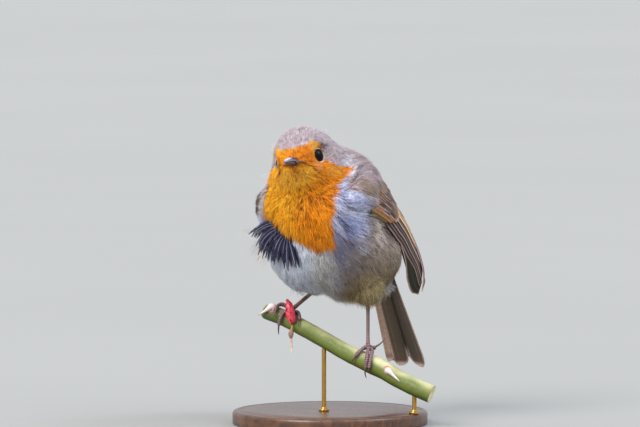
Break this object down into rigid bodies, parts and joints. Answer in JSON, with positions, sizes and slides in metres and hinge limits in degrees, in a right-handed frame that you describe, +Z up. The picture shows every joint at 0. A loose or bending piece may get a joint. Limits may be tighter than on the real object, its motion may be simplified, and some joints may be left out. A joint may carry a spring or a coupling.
{
  "type": "european robin on perch",
  "caption": "Life-size fluffed-up European robin in still pose, gripping a slanted cut rose stem on a round display base, head turned to its left.",
  "frame": {"origin": "centre of the round base's underside", "axes": "+Z up, -Y the way the body faces (the head is turned 20 degrees to the bird's left), +X the bird's left"},
  "size_m": [0.0923, 0.1007, 0.1325],
  "materials": {
    "plumage_body": "soft feathers: orange face and breast, grey-brown above, pale belly",
    "plumage_wing": "vaned brown feathers with buff edges",
    "plumage_tail": "vaned brown feathers with pale edges",
    "bill": "dark horn",
    "eye": "wet, nearly black",
    "leg": "scaled purplish-brown skin",
    "claw": "dark horn",
    "perch_bark": "smooth green rose bark",
    "perch_thorn": "pale pink thorn",
    "perch_shoot": "red scaly shoot",
    "perch_dry": "dry brown stipule",
    "stand_wood": "dark satin varnish",
    "stand_brass": "brushed"
  },
  "bodies": {
    "root": {"trunk": "plumage_body", "neck": "plumage_body", "head": "plumage_body", "thigh_left": "plumage_body", "thigh_right": "plumage_body", "wing_left": "plumage_wing", "wing_right": "plumage_wing", "tail": "plumage_tail", "bill_upper": "bill", "bill_lower": "bill", "eye_left": "eye", "eye_right": "eye", "tarsus_left": "leg", "toe_left_1": "leg", "claw_left_1": "claw", "toe_left_2": "leg", "claw_left_2": "claw", "toe_left_3": "leg", "claw_left_3": "claw", "toe_left_4": "leg", "claw_left_4": "claw", "tarsus_right": "leg", "toe_right_1": "leg", "claw_right_1": "claw", "toe_right_2": "leg", "claw_right_2": "claw", "toe_right_3": "leg", "claw_right_3": "claw", "toe_right_4": "leg", "claw_right_4": "claw", "perch_stem": "perch_bark", "perch_thorn_1": "perch_thorn", "perch_thorn_2": "perch_thorn", "perch_shoot": "perch_shoot", "perch_stipule": "perch_dry", "stand_base": "stand_wood", "stand_rod_1": "stand_brass", "stand_rod_2": "stand_brass"}
  },
  "joints": []
}
